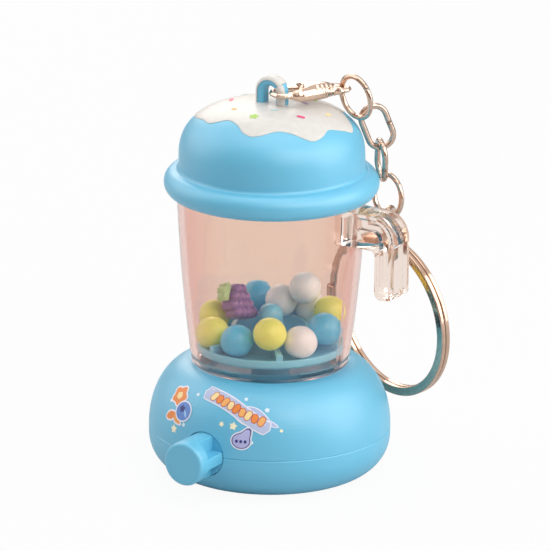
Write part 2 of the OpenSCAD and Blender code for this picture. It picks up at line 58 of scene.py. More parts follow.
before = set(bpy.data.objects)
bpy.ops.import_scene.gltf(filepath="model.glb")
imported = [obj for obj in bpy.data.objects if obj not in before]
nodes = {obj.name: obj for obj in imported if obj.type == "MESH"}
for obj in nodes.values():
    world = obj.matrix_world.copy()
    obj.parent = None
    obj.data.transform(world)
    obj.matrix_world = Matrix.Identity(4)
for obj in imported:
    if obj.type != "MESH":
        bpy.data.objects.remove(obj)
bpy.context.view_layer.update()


# ---------------------------------------------------------------- materials

def rgb(r, g, b):
    """Linear colour from an sRGB one given in 0..255."""
    def lin(c):
        c /= 255
        return c / 12.92 if c <= 0.04045 else ((c + 0.055) / 1.055) ** 2.4
    return (lin(r), lin(g), lin(b), 1.0)


def scaled(colour, k):
    return tuple(min(1.0, c * k) for c in colour[:3]) + (1.0,)


class Tree:
    """A short way to write a material's node tree."""

    def __init__(self, name):
        self.material = bpy.data.materials.new(name)
        self.material.use_nodes = True
        self.nodes = self.material.node_tree.nodes
        self.links = self.material.node_tree.links
        self.shader = self.nodes["Principled BSDF"]
        self.output = self.nodes["Material Output"]

    def add(self, kind, **values):
        node = self.nodes.new(kind)
        for key, value in values.items():
            if hasattr(node, key):
                setattr(node, key, value)
            else:
                node.inputs[key.replace("_", " ")].default_value = value
        return node

    def link(self, a, b):
        self.links.new(a, b)

    def place(self):
        """The point on the object, in metres in the row frame at rest."""
        if not hasattr(self, "_place"):
            self._place = self.add("ShaderNodeTexCoord").outputs["Object"]
        return self._place

    def noise(self, scale, detail=3.0, rough=0.55, where=None):
        node = self.add("ShaderNodeTexNoise", Scale=scale, Detail=detail, Roughness=rough)
        self.link(where or self.place(), node.inputs["Vector"])
        return node.outputs["Fac"]

    def ramp(self, fac, *stops):
        node = self.add("ShaderNodeValToRGB")
        while len(node.color_ramp.elements) < len(stops):
            node.color_ramp.elements.new(0.5)
        for element, (at, colour) in zip(node.color_ramp.elements, stops):
            element.position = at
            element.color = colour if len(colour) == 4 else (*colour, 1)
        self.link(fac, node.inputs["Fac"])
        return node.outputs["Color"]

    def spread(self, fac, low, high):
        node = self.add("ShaderNodeMapRange")
        node.inputs["From Min"].default_value = 0.3
        node.inputs["From Max"].default_value = 0.7
        node.inputs["To Min"].default_value = low
        node.inputs["To Max"].default_value = high
        self.link(fac, node.inputs["Value"])
        return node.outputs["Result"]

    def mix(self, fac, a, b, kind="MIX"):
        node = self.add("ShaderNodeMix", data_type="RGBA", blend_type=kind)
        for socket, value in ((node.inputs[0], fac), (node.inputs[6], a), (node.inputs[7], b)):
            if isinstance(value, (int, float, tuple)):
                socket.default_value = value
            else:
                self.link(value, socket)
        return node.outputs[2]

    def math(self, operation, a, b=0.0):
        node = self.add("ShaderNodeMath", operation=operation)
        for socket, value in ((node.inputs[0], a), (node.inputs[1], b)):
            if isinstance(value, (int, float)):
                socket.default_value = value
            else:
                self.link(value, socket)
        return node.outputs[0]

    def bump(self, height, strength, distance):
        node = self.add("ShaderNodeBump", Strength=strength, Distance=distance)
        self.link(height, node.inputs["Height"])
        if getattr(self, "_bump", None) is not None:
            self.link(self._bump, node.inputs["Normal"])
        self._bump = node.outputs["Normal"]
        self.link(self._bump, self.shader.inputs["Normal"])

    def set(self, **values):
        for key, value in values.items():
            self.shader.inputs[key.replace("_", " ")].default_value = value


def scuffs(t, scale=260, keep=0.62):
    """Faint handling marks: sparse streaks from stretched noise, 0 to 1."""
    stretch = t.add("ShaderNodeMapping")
    stretch.inputs["Scale"].default_value = (1.0, 1.0, 0.16)
    stretch.inputs["Rotation"].default_value = (0.5, 0.7, 0.2)
    t.link(t.place(), stretch.inputs["Vector"])
    fine = t.noise(scale * 5, 4, 0.6, stretch.outputs["Vector"])
    patch = t.noise(scale * 0.35, 2, 0.5)
    streak = t.ramp(fine, (keep, (0, 0, 0)), (keep + 0.10, (1, 1, 1)))
    where = t.ramp(patch, (0.52, (0, 0, 0)), (0.62, (1, 1, 1)))
    return t.math("MULTIPLY", streak, where)


def edge_wear(t, amount):
    """Where edges stand out, 0 to amount."""
    point = t.add("ShaderNodeNewGeometry").outputs["Pointiness"]
    return t.math("MULTIPLY", t.ramp(point, (0.52, (0, 0, 0)), (0.60, (1, 1, 1))), amount)


def moulded_plastic(name, colour, rough=0.42, grain=0.05, glow=0.04):
    """Moulded, lightly textured plastic: slow colour drift, fine grain, faint flow and scuff marks."""
    t = Tree(name)
    drift = t.noise(55, 2)
    speck = t.noise(2600, 2)
    base = t.mix(t.spread(drift, 0, 1), scaled(colour, 0.965), scaled(colour, 1.03))
    base = t.mix(t.math("MULTIPLY", t.spread(speck, 0, 1), 0.05), base, scaled(colour, 1.18))
    base = t.mix(edge_wear(t, 0.22), base, scaled(colour, 1.25))
    marks = scuffs(t)
    base = t.mix(t.math("MULTIPLY", marks, 0.10), base, scaled(colour, 1.2))
    t.link(base, t.shader.inputs["Base Color"])
    drift_rough = t.spread(t.noise(420, 3), rough - 0.04, rough + 0.05)
    rough_map = t.math("ADD", drift_rough, t.math("MULTIPLY", marks, 0.12))
    t.link(rough_map, t.shader.inputs["Roughness"])
    t.bump(t.noise(5200, 2), grain, 0.02 * MM)
    t.bump(t.noise(170, 2), 0.10, 0.05 * MM)
    t.set(IOR=1.46, Subsurface_Weight=glow, Subsurface_Scale=1.2 * MM, Coat_Weight=0.5, Coat_Roughness=0.45)
    t.shader.inputs["Specular IOR Level"].default_value = 0.9
    t.shader.inputs["Subsurface Radius"].default_value = (0.8, 0.9, 1.0)
    return t.material


def clear_plastic(name, tint, rough=0.03, ior=1.45, edge=None):
    """Clear moulded plastic: slight flow waves, fine haze and hairline scratches. Lamps shine through it.

    edge is the tint where the wall is seen at a slant.
    """
    t = Tree(name)
    t.set(Base_Color=tint, Transmission_Weight=1.0, IOR=ior)
    if edge:
        rim = t.add("ShaderNodeLayerWeight", Blend=0.35).outputs["Facing"]
        slant = t.ramp(rim, (0.12, (0, 0, 0)), (0.62, (1, 1, 1)))
        t.link(t.mix(slant, tint, edge), t.shader.inputs["Base Color"])
    marks = scuffs(t, 300, 0.60)
    haze = t.spread(t.noise(160, 2), rough * 0.7, rough * 1.4)
    t.link(t.math("ADD", haze, t.math("MULTIPLY", marks, 0.03)), t.shader.inputs["Roughness"])
    t.bump(t.noise(90, 2), 0.08, 0.05 * MM)
    shadow = t.add("ShaderNodeBsdfTransparent", Color=(0.985, 0.975, 0.965, 1))
    path = t.add("ShaderNodeLightPath")
    mixer = t.add("ShaderNodeMixShader")
    seen = t.math("MAXIMUM", path.outputs["Is Shadow Ray"], path.outputs["Is Diffuse Ray"])
    # light that is caught between two walls gets out after a few turns
    seen = t.math("MAXIMUM", seen, t.math("GREATER_THAN", path.outputs["Ray Depth"], 5.0))
    t.link(seen, mixer.inputs["Fac"])
    t.link(t.shader.outputs["BSDF"], mixer.inputs[1])
    t.link(shadow.outputs["BSDF"], mixer.inputs[2])
    t.link(mixer.outputs["Shader"], t.output.inputs["Surface"])
    return t.material


def plated_metal(name, colour, rough=0.13, dirt=0.35):
    """Polished plate on a casting or wire: soft ripple, fine rubbing marks, tarnish in the hollows."""
    t = Tree(name)
    t.set(Metallic=1.0)
    tarnish = t.spread(t.noise(900, 4, 0.6), 0, 1)
    base = t.mix(t.math("MULTIPLY", tarnish, dirt), colour, scaled(colour, 0.62))
    point = t.add("ShaderNodeNewGeometry").outputs["Pointiness"]
    hollow = t.ramp(point, (0.44, (1, 1, 1)), (0.49, (0, 0, 0)))
    base = t.mix(t.math("MULTIPLY", hollow, 0.5), base, rgb(70, 52, 44))
    t.link(base, t.shader.inputs["Base Color"])
    marks = scuffs(t, 700, 0.58)
    t.link(t.math("ADD", t.spread(t.noise(1500, 3), rough * 0.7, rough * 1.4), t.math("MULTIPLY", marks, 0.15)),
           t.shader.inputs["Roughness"])
    t.bump(t.noise(650, 2), 0.18, 0.03 * MM)
    t.bump(t.noise(6000, 2), 0.05, 0.008 * MM)
    return t.material


def candy_shell(name, colour, freckle):
    """Polished sugar shell: mottled pastel coat with tiny freckles and pits."""
    t = Tree(name)
    cloud = t.noise(420, 4, 0.6)
    base = t.mix(t.spread(cloud, 0, 1), scaled(colour, 0.93), scaled(colour, 1.06))
    dots = t.ramp(t.noise(1700, 2, 0.5), (0.60, (0, 0, 0)), (0.72, (1, 1, 1)))
    base = t.mix(t.math("MULTIPLY", dots, 0.45), base, freckle)
    t.link(base, t.shader.inputs["Base Color"])
    t.link(t.spread(t.noise(1300, 3), 0.26, 0.40), t.shader.inputs["Roughness"])
    t.bump(t.noise(1500, 3), 0.10, 0.03 * MM)
    t.set(Subsurface_Weight=0.10, Subsurface_Scale=0.8 * MM, Coat_Weight=0.25, Coat_Roughness=0.22)
    return t.material


def ink(name, colour, rough=0.42):
    """A pad-printed ink layer: slight mottling from the pad and a fine dry texture."""
    t = Tree(name)
    base = t.mix(t.spread(t.noise(800, 4), 0, 1), scaled(colour, 0.95), scaled(colour, 1.04))
    t.link(base, t.shader.inputs["Base Color"])
    t.link(t.spread(t.noise(1200, 2), rough - 0.06, rough + 0.08), t.shader.inputs["Roughness"])
    t.bump(t.noise(4200, 2), 0.06, 0.01 * MM)
    return t.material


BLUE = rgb(96, 184, 217)
sky = moulded_plastic("sky_blue_plastic", BLUE)
# painted light: the turntable's plastic is a brighter copy of the body's blue, to make up for the dimmer light
# inside the cup
tray_blue_painted_light = moulded_plastic("tray_blue_plastic_painted_light", rgb(122, 206, 236), rough=0.38)
acetal = moulded_plastic("white_acetal", rgb(226, 226, 220), rough=0.45)
clear = clear_plastic("clear_warm_plastic", rgb(242, 223, 212), edge=rgb(234, 184, 176))
clear_handle = clear_plastic("clear_handle_plastic", rgb(240, 224, 214), rough=0.07, ior=1.3)
nickel = plated_metal("polished_nickel", rgb(226, 200, 182))
nickel_ring = plated_metal("key_ring_nickel", rgb(222, 190, 168), rough=0.09)
zinc = plated_metal("zinc_plated_steel", rgb(170, 170, 172), rough=0.28)
yellow_candy = candy_shell("yellow_candy", rgb(240, 243, 118), rgb(246, 244, 160))
white_candy = candy_shell("white_candy", rgb(246, 247, 251), rgb(244, 234, 240))
blue_candy = candy_shell("blue_candy", rgb(84, 196, 240), rgb(130, 205, 230))
grape_resin = candy_shell("purple_resin", rgb(150, 108, 168), rgb(176, 140, 190))
leaf_resin = candy_shell("green_resin", rgb(188, 214, 150), rgb(206, 226, 176))
icing_ink = ink("icing_print", rgb(212, 209, 204), rough=0.36)

NODE_MATERIAL = {
    "base_lower_shell": sky, "base_upper_shell": sky, "base_screws": zinc, "cup": clear, "handle": clear_handle,
    "lid": sky, "return_spring": zinc, "turntable": tray_blue_painted_light, "drive_pinion": acetal, "pinion_screw": zinc,
    "balls_yellow": yellow_candy, "balls_white": white_candy, "balls_blue": blue_candy,
    "grape_charm": grape_resin, "grape_leaf": leaf_resin, "plunger": sky,
    "clasp_body": nickel, "clasp_lever": nickel, "clasp_pin": nickel, "clasp_spring": zinc,
    "jump_ring_upper": nickel, "chain_link_1": nickel, "chain_link_2": nickel, "jump_ring_lower": nickel,
    "chain_link_3": nickel, "split_ring": nickel_ring,
}
for node_name, material in NODE_MATERIAL.items():
    mesh = nodes[node_name].data
    mesh.materials.clear()
    mesh.materials.append(material)


# ---------------------------------------------------------------- mesh helpers

def piece(name, verts, faces, material, body):
    mesh = bpy.data.meshes.new(name)
    mesh.from_pydata([tuple(v) for v in verts], [], faces)
    mesh.validate()
    mesh.update()
    mesh.shade_smooth()
    mesh.materials.append(material)
    obj = bpy.data.objects.new(name, mesh)
    bpy.context.collection.objects.link(obj)
    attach(obj, body)
    return obj


def tube(path, normals, section):
    """Sweeps a section, points (side, out), along a path. normals gives the out direction at each point."""
    n, m = len(path), len(section)
    verts = []
    for i in range(n):
        forward = (path[min(i + 1, n - 1)] - path[max(i - 1, 0)]).normalized()
        out = (normals[i] - forward * normals[i].dot(forward)).normalized()
        side = forward.cross(out)
        verts += [path[i] + side * a + out * b for a, b in section]
    faces = []
    for i in range(n - 1):
        j = i + 1
        faces += [(i * m + k, i * m + (k + 1) % m, j * m + (k + 1) % m, j * m + k) for k in range(m)]
    faces += [tuple(range(m - 1, -1, -1)), tuple((n - 1) * m + k for k in range(m))]
    return verts, faces


def round_section(r, n=20):
    return [(r * math.cos(TAU * k / n), r * math.sin(TAU * k / n)) for k in range(n)]


def soft_box_section(half_side, half_out, corner, n=5):
    """A rectangle with rounded corners, as section points."""
    points = []
    for q, (sx, sy) in enumerate(((1, 1), (-1, 1), (-1, -1), (1, -1))):
        for k in range(n + 1):
            a = math.pi / 2 * (q + k / n)
            points.append((sx * (half_side - corner) + corner * math.cos(a),
                           sy * (half_out - corner) + corner * math.sin(a)))
    return points


def lie_of(node):
    """Centre of a ring or link, its long, wide and normal axes, and its size along the first two."""
    points = np.array([v.co[:] for v in nodes[node].data.vertices])
    centre = (points.min(0) + points.max(0)) / 2
    _, axes = np.linalg.eigh(np.cov((points - centre).T))
    normal, wide, long = (Vector(axes[:, k]) for k in range(3))
    reach = [float(np.ptp((points - centre) @ np.array(a))) for a in (long, wide)]
    return Vector(centre), long, wide, normal, reach


class Skin:
    """The outside of a round CAD node, seen from a point on its axis: where prints lie."""

    def __init__(self, node, focus_z, low, high):
        mesh = nodes[node].data
        tree = BVHTree.FromPolygons([v.co for v in mesh.vertices], [tuple(p.vertices) for p in mesh.polygons])
        self.focus = Vector((0, 0, focus_z))
        self.angles = np.radians(np.linspace(low, high, 120))
        self.reach = []
        for a in self.angles:
            way = Vector((0, math.sin(a), math.cos(a)))
            hit = tree.ray_cast(self.focus + way * 0.1, -way)[0]
            self.reach.append((hit - self.focus).length)

    def at(self, azimuth, polar, lift=0.0):
        """A point on the skin: azimuth from -Y towards +X, polar from +Z, both in radians."""
        r = float(np.interp(polar, self.angles, self.reach)) + lift
        return self.focus + Vector((math.sin(azimuth) * math.sin(polar), -math.cos(azimuth) * math.sin(polar),
                                    math.cos(polar))) * r

    def near(self, azimuth, polar, u, v, lift):
        """The skin point that lies u to the right and v up from a place on it."""
        spot = self.at(azimuth, polar)
        right = Vector((math.cos(azimuth), math.sin(azimuth), 0))
        up = (self.at(azimuth, polar - 0.02) - self.at(azimuth, polar + 0.02)).normalized()
        way = spot + right * u + up * v - self.focus
        return self.at(math.atan2(way.x, -way.y), math.atan2(math.hypot(way.x, way.y), way.z), lift)


def printed(name, outline, skin, azimuth, polar, spin, layer, material, body):
    """A flat outline, in metres, laid on a skin as a thin layer of ink."""
    c, s = math.cos(spin), math.sin(spin)
    bm = bmesh.new()
    ring = [bm.verts.new((x, y, 0)) for x, y in outline]
    bm.faces.new(ring)
    bmesh.ops.triangulate(bm, faces=bm.faces[:])
    for _ in range(6):
        long_edges = [e for e in bm.edges if e.calc_length() > PRINT_EDGE]
        if not long_edges:
            break
        bmesh.ops.subdivide_edges(bm, edges=long_edges, cuts=1)
        bmesh.ops.triangulate(bm, faces=[f for f in bm.faces if len(f.verts) > 3])
    lift = (layer + 1) * INK
    for v in bm.verts:
        x, y = v.co.x, v.co.y
        v.co = skin.near(math.radians(azimuth), math.radians(polar), x * c - y * s, x * s + y * c, lift)
    mesh = bpy.data.meshes.new(name)
    bm.to_mesh(mesh)
    bm.free()
    mesh.materials.append(material)
    obj = bpy.data.objects.new(name, mesh)
    bpy.context.collection.objects.link(obj)
    shell = obj.modifiers.new("ink", "SOLIDIFY")
    shell.thickness = INK * 0.9
    shell.offset = -1 if mesh.polygons[0].normal.dot(mesh.vertices[0].co - skin.focus) > 0 else 1
    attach(obj, body)
    return obj


# ---------------------------------------------------------------- outlines

def ellipse(rx, ry, n=40):
    return [(rx * math.cos(TAU * k / n), ry * math.sin(TAU * k / n)) for k in range(n)]


def star(r, points=5, waist=0.55, soft=4):
    """A star with softened points."""
    corners = []
    for k in range(2 * points):
        a = math.pi / 2 + math.pi * k / points
        reach = r if k % 2 == 0 else r * waist
        corners.append((reach * math.cos(a), reach * math.sin(a)))
    return rounded(corners, 0.22, soft)


def capsule(length, width, n=10):
    half, r = (length - width) / 2, width / 2
    right = [(half + r * math.cos(a), r * math.sin(a)) for a in np.linspace(-math.pi / 2, math.pi / 2, n)]
    return right + [(-x, -y) for x, y in right]


def rounded(corners, share, n):
    """Cuts each corner of a closed outline with a small curve."""
    out = []
    count = len(corners)
    for i, (x, y) in enumerate(corners):
        px, py = corners[i - 1]
        qx, qy = corners[(i + 1) % count]
        a = (x + (px - x) * share, y + (py - y) * share)
        b = (x + (qx - x) * share, y + (qy - y) * share)
        for k in range(n + 1):
            t = k / n
            out.append(((1 - t) ** 2 * a[0] + 2 * t * (1 - t) * x + t * t * b[0],
                        (1 - t) ** 2 * a[1] + 2 * t * (1 - t) * y + t * t * b[1]))
    return out


# How far along its length a wavy band starts its rise
WAVE_PHASE = 0.1


def wave_band(length, width, sway, tail, n=28):
    """A ribbon that rises and falls once, with pointed ends."""
    top, bottom = [], []
    for k in range(n + 1):
        t = k / n
        x = (t - 0.5) * length
        y = sway * math.sin(TAU * (t - WAVE_PHASE))
        top.append((x, y + width / 2))
        bottom.append((x, y - width / 2))
    end_y = (top[-1][1] + bottom[-1][1]) / 2
    start_y = (top[0][1] + bottom[0][1]) / 2
    return top + [(length / 2 + tail, end_y)] + bottom[::-1] + [(-length / 2 - tail, start_y)]


# ---------------------------------------------------------------- lid prints

# Prints are placed by angles from this height on the axis
DOME_FOCUS_Z = 53.2 * MM
dome = Skin("lid", DOME_FOCUS_Z, 7, 88)

# Points on the edge of the icing, in degrees: azimuth from the front towards the handle,
# and angle down from the top
DRIPS = [(-180, 56), (-150, 63), (-120, 55), (-88, 64), (-62, 62), (-40, 57.5), (-28, 57), (-14, 49.5), (0, 52),
         (10, 58), (19, 59.8), (37, 55), (48, 57.2), (62, 64.3), (72, 62.8), (82, 59.2), (96, 63.5), (106, 67),
         (128, 57), (152, 65)]


def drip_edge(azimuth):
    """Polar angle of the icing's edge at an azimuth, both in degrees: a smooth curve through its points."""
    turn = (azimuth + 180) % 360 - 180
    count = len(DRIPS)
    last = max(k for k in range(count) if DRIPS[k][0] <= turn)
    ring = []
    for k in range(last - 1, last + 3):
        x, y = DRIPS[k % count]
        ring.append((x + 360 * (k // count), y))
    (x0, y0), (x1, y1), (x2, y2), (x3, y3) = ring
    t = (turn - x1) / (x2 - x1)
    m1 = (y2 - y0) / (x2 - x0) * (x2 - x1)
    m2 = (y3 - y1) / (x3 - x1) * (x2 - x1)
    return ((2 * t ** 3 - 3 * t * t + 1) * y1 + (t ** 3 - 2 * t * t + t) * m1
            + (-2 * t ** 3 + 3 * t * t) * y2 + (t ** 3 - t * t) * m2)


def icing():
    """The white top of the dome: a thin raised print with a rolled edge."""
    spokes, rings = 360, 34
    verts = [dome.at(0, 0, ICING)]
    for i in range(spokes):
        azimuth = math.radians(360 * i / spokes - 180)
        edge = math.radians(drip_edge(360 * i / spokes - 180))
        for k in range(1, rings + 1):
            verts.append(dome.at(azimuth, edge * k / rings, ICING))
        # the rolled edge: radians beyond the edge, and the share of the icing's height
        for out, share in ((0.0036, 0.8), (0.006, 0.35), (0.0063, -0.3)):
            verts.append(dome.at(azimuth, edge + out, ICING * share))
    row = rings + 3
    faces = []
    for i in range(spokes):
        a, b = 1 + i * row, 1 + ((i + 1) % spokes) * row
        faces.append((0, a, b))
        faces += [(a + k, a + k + 1, b + k + 1, b + k) for k in range(row - 1)]
    return piece("icing", verts, faces, icing_ink, "housing")


icing()

SPRINKLE_SCALE = 1.25
SPRINKLES = [
    # name, outline before scaling, azimuth, polar angle and spin in degrees, colour
    ("pink_front", capsule(1.5 * MM, 0.55 * MM), -84, 40, 20, rgb(222, 92, 122)),
    ("orange_dot", ellipse(0.42 * MM, 0.36 * MM), -34, 36.5, 0, rgb(240, 176, 92)),
    ("green_star", star(0.78 * MM), 9, 39, 8, rgb(158, 200, 70)),
    ("teal_stroke", capsule(1.0 * MM, 0.3 * MM), 37, 24, -10, rgb(150, 212, 214)),
    ("magenta_oval", capsule(1.15 * MM, 0.6 * MM), 69, 41.5, -52, rgb(222, 82, 130)),
    ("cream_dot", ellipse(0.45 * MM, 0.38 * MM), 104, 49, 0, rgb(244, 222, 160)),
    ("green_back", star(0.75 * MM), 150, 40, 30, rgb(158, 200, 70)),
    ("pink_back", capsule(1.4 * MM, 0.55 * MM), 190, 44, 60, rgb(222, 92, 122)),
    ("orange_back", ellipse(0.42 * MM, 0.36 * MM), 222, 34, 0, rgb(240, 176, 92)),
    ("teal_back", capsule(1.0 * MM, 0.32 * MM), 240, 50, -30, rgb(120, 200, 206)),
    ("lilac_side", capsule(1.2 * MM, 0.5 * MM), 128, 30, 40, rgb(186, 150, 214)),
]
for label, outline, azimuth, polar, spin, colour in SPRINKLES:
    grain = [(SPRINKLE_SCALE * x, SPRINKLE_SCALE * y) for x, y in outline]
    printed("sprinkle_" + label, grain, dome, azimuth, polar, math.radians(spin), 4,
            ink("sprinkle_" + label, colour), "housing")


def loop_icing():
    """White print over the outside of the loop: over the arch, and down the front of the hooked leg."""
    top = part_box("lid")[1][2]
    wire, flat, leg_x = 0.8 * MM, 0.8 * MM, 1.95 * MM
    arch_z = top - leg_x - wire
    lift = 0.05 * MM
    turn = math.radians(38)  # where the arch's print gives way to the leg's
    foot = arch_z - 2.2 * MM
    knee = arch_z - 1.2 * MM
    arch = [(math.pi, foot), (math.pi, knee)] + [(a, arch_z) for a in np.linspace(math.pi, turn, 34)]
    leg = [(a, arch_z) for a in np.linspace(turn, 0, 8)] + [(0, knee), (0, foot)]
    # the clasp's lever swings past the back of the hooked leg, so its print covers the front only
    prints = (("loop_icing", arch, range(-72, 73, 8)), ("loop_icing_leg", leg, range(-112, -7, 8)))
    for name, path, spread in prints:
        verts = []
        for angle, z in path:
            out = Vector((math.cos(angle), 0, math.sin(angle)))
            centre = Vector((0, 0, z)) + out * leg_x
            for s in (math.radians(d) for d in spread):
                side = (flat / 2 if s > 0 else -flat / 2) + (wire + lift) * math.sin(s)
                verts.append(centre + out * ((wire + lift) * math.cos(s)) + Vector((0, side, 0)))
        m = len(spread)
        faces = [(i * m + k, i * m + k + 1, (i + 1) * m + k + 1, (i + 1) * m + k)
                 for i in range(len(path) - 1) for k in range(m - 1)]
        obj = piece(name, verts, faces, icing_ink, "housing")
        shell = obj.modifiers.new("ink", "SOLIDIFY")
        shell.thickness = lift * 0.9
        shell.offset = -1


loop_icing()

# ---------------------------------------------------------------- base prints

BELLY_FOCUS_Z = 7.5 * MM
BELLY_RADIUS = 19.2 * MM
BELLY_SLOPE = 0.62  # rise in height for each unit up along the skin
belly = Skin("base_upper_shell", BELLY_FOCUS_Z, 58, 88)


def belly_print(name, outline, azimuth, height, spin, layer, colour):
    """A print on the upper base shell, at a height above the floor in metres."""
    polar = min(np.degrees(belly.angles), key=lambda a: abs(belly.at(0, math.radians(a)).z - height))
    return printed("print_" + name, outline, belly, azimuth, float(polar), math.radians(spin), layer,
                   ink("ink_" + name, colour), "housing")


def grown(outline, by):
    """An outline moved outwards by a distance."""
    out = []
    count = len(outline)
    area = sum(outline[i - 1][0] * outline[i][1] - outline[i][0] * outline[i - 1][1] for i in range(count))
    turn = 1 if area > 0 else -1
    for i, (x, y) in enumerate(outline):
        px, py = outline[i - 1]
        qx, qy = outline[(i + 1) % count]
        dx, dy = qx - px, qy - py
        size = math.hypot(dx, dy) or 1
        out.append((x + turn * dy / size * by, y - turn * dx / size * by))
    return out


PAPER = rgb(238, 234, 246)
LILAC = rgb(176, 190, 226)
CREAM = rgb(250, 222, 160)
ORANGE = rgb(238, 140, 66)
RUST = rgb(196, 84, 56)
BERRY = rgb(98, 138, 206)
NAVY = rgb(52, 58, 128)


def sticker(name, outline, place, layer, colour, border=0.0, edge=None):
    """A print with a border of another colour under it. place is azimuth, height above the floor, spin."""
    if border:
        belly_print(name + "_border", grown(outline, border), *place, layer, edge or PAPER)
    belly_print(name, outline, *place, layer + 0.5, colour)


def petals(r, count, depth, n=60):
    """A round outline with soft lobes."""
    out = []
    for a in (TAU * k / n for k in range(n)):
        reach = r * (1 + depth * math.cos(count * a))
        out.append((reach * math.cos(a), reach * math.sin(a)))
    return out


def leaf(length, width, n=14):
    """A pointed leaf along u."""
    top = [(length * k / n - length / 2, width / 2 * math.sin(math.pi * (k / n) ** 0.8)) for k in range(n + 1)]
    return [(x, -y) for x, y in top[1:-1]] + [(x, y) for x, y in top[::-1]]


def speech_drop(r, n=36):
    """A round bubble drawn out to a curled tip at its upper right."""
    out = []
    for k in range(n):
        a = TAU * k / n
        pull = max(0.0, math.cos(a - math.radians(58))) ** 14
        out.append((r * (1.06 + 0.75 * pull) * math.cos(a), r * (0.86 + 0.85 * pull) * math.sin(a)))
    return out


def along(place, u, v):
    """The place u along and v across from a slanted sticker's middle, in metres."""
    azimuth, height, spin = place
    c, s = math.cos(math.radians(spin)), math.sin(math.radians(spin))
    turn = math.degrees((u * c - v * s) / BELLY_RADIUS)
    return (azimuth + turn, height + (u * s + v * c) * BELLY_SLOPE, spin)


# Fruit sticker: an orange blossom with its leaves, holding a blueberry
BLOSSOM_AT = (-22.5, 15.4 * MM, 0)
BERRY_AT = (-15.5, 13.5 * MM, 0)
sticker("leaf_low", leaf(2.9 * MM, 1.35 * MM), (-23.4, 12.3 * MM, 24), 0, ORANGE, 0.26 * MM)
sticker("leaf_right", leaf(2.3 * MM, 1.1 * MM), (-18.6, 11.9 * MM, -30), 0.2, rgb(240, 160, 84), 0.26 * MM)
sticker("blossom", petals(1.55 * MM, 5, 0.14), BLOSSOM_AT, 1.2, ORANGE, 0.28 * MM)
belly_print("blossom_heart", petals(0.62 * MM, 5, 0.10), *BLOSSOM_AT, 2.3, CREAM)
sticker("berry", ellipse(1.62 * MM, 1.55 * MM), BERRY_AT, 2.4, BERRY, 0.24 * MM)
belly_print("berry_shine", leaf(1.5 * MM, 0.5 * MM), BERRY_AT[0] + 2.0, BERRY_AT[1] - 0.35 * MM, -58, 3.5,
            rgb(160, 196, 236))
belly_print("berry_calyx", star(0.72 * MM, 5, 0.62), BERRY_AT[0] - 1.0, BERRY_AT[1] + 0.35 * MM, 12, 3.5, NAVY)

# Ribbon: a pale slanting band with a row of candy drops and a small curled tail
RIBBON_AT = (15.0, 15.4 * MM, -24.5)
RIBBON_SWAY = 0.22 * MM
CANDY_STEP = 1.3 * MM
CANDY_WAVE = 12.4 * MM
ribbon = wave_band(12.8 * MM, 2.3 * MM, RIBBON_SWAY, 0.5 * MM)
sticker("ribbon_fold", leaf(4.6 * MM, 1.5 * MM), along(RIBBON_AT, 3.7 * MM, 1.0 * MM), 0, LILAC, 0.16 * MM)
sticker("ribbon_under", leaf(5.4 * MM, 1.6 * MM), along(RIBBON_AT, 3.0 * MM, -1.2 * MM), 0.2, LILAC, 0.16 * MM)
sticker("ribbon_tip", leaf(2.6 * MM, 0.62 * MM), along(RIBBON_AT, 6.9 * MM, -0.1 * MM), 0.4, LILAC, 0.16 * MM)
sticker("ribbon", ribbon, RIBBON_AT, 1.2, rgb(186, 196, 226), 0.2 * MM)
for k in range(9):
    u = (k - 4) * CANDY_STEP
    sway = RIBBON_SWAY * math.sin(TAU * (u / CANDY_WAVE + 0.5 - WAVE_PHASE))
    spot = along(RIBBON_AT, u, sway)
    tall = 1.62 * MM if k % 2 == 0 else 1.42 * MM
    drop = [(y, x) for x, y in capsule(tall, 0.92 * MM)]
    sticker(f"candy_{k}", drop, (spot[0], spot[1], spot[2] + (8 if k % 2 else -6)), 2.3,
            (CREAM, ORANGE, rgb(244, 178, 104))[k % 3], 0.12 * MM, RUST)

# Bubble without any words: three dots
BUBBLE_AT = (19.2, 10.75 * MM, 0)
sticker("bubble_rim", speech_drop(1.5 * MM), BUBBLE_AT, 0, NAVY, 0.22 * MM)
belly_print("bubble", speech_drop(1.34 * MM), *BUBBLE_AT, 1.5, rgb(186, 184, 226))
for k, u in enumerate((-2.1, 0.0, 2.1)):
    belly_print(f"bubble_dot_{k}", ellipse(0.24 * MM, 0.27 * MM), BUBBLE_AT[0] + u, BUBBLE_AT[1] - 0.1 * MM, 0,
                2.5, NAVY)

# Small stars: azimuth in degrees, height above the floor and size in millimetres, 1 for the warm colour
STARS = [(-19.5, 10.3, 0.78, 1), (-13.2, 11.5, 0.42, 0), (-10.5, 16.4, 0.4, 0), (-27.6, 14.2, 0.36, 0),
         (8.6, 13.0, 0.5, 1), (14.8, 12.9, 0.74, 1), (19.5, 16.9, 0.4, 0), (31.5, 15.6, 0.5, 0),
         (24.5, 10.6, 0.36, 0), (38.6, 12.5, 0.36, 1)]
for k, (azimuth, height, r, warm) in enumerate(STARS):
    belly_print(f"star_{k}", star(r * MM, 5, 0.6), azimuth, height * MM, 8 + 11 * k, 0.4 + 0.1 * k,
                rgb(250, 240, 206) if warm else rgb(226, 240, 250))

# ---------------------------------------------------------------- softened mouldings

FLAT_WITHIN = math.radians(0.6)  # faces that meet at less than this are one face
SHARP_FROM = math.radians(24)  # edges that turn by more than this are rounded


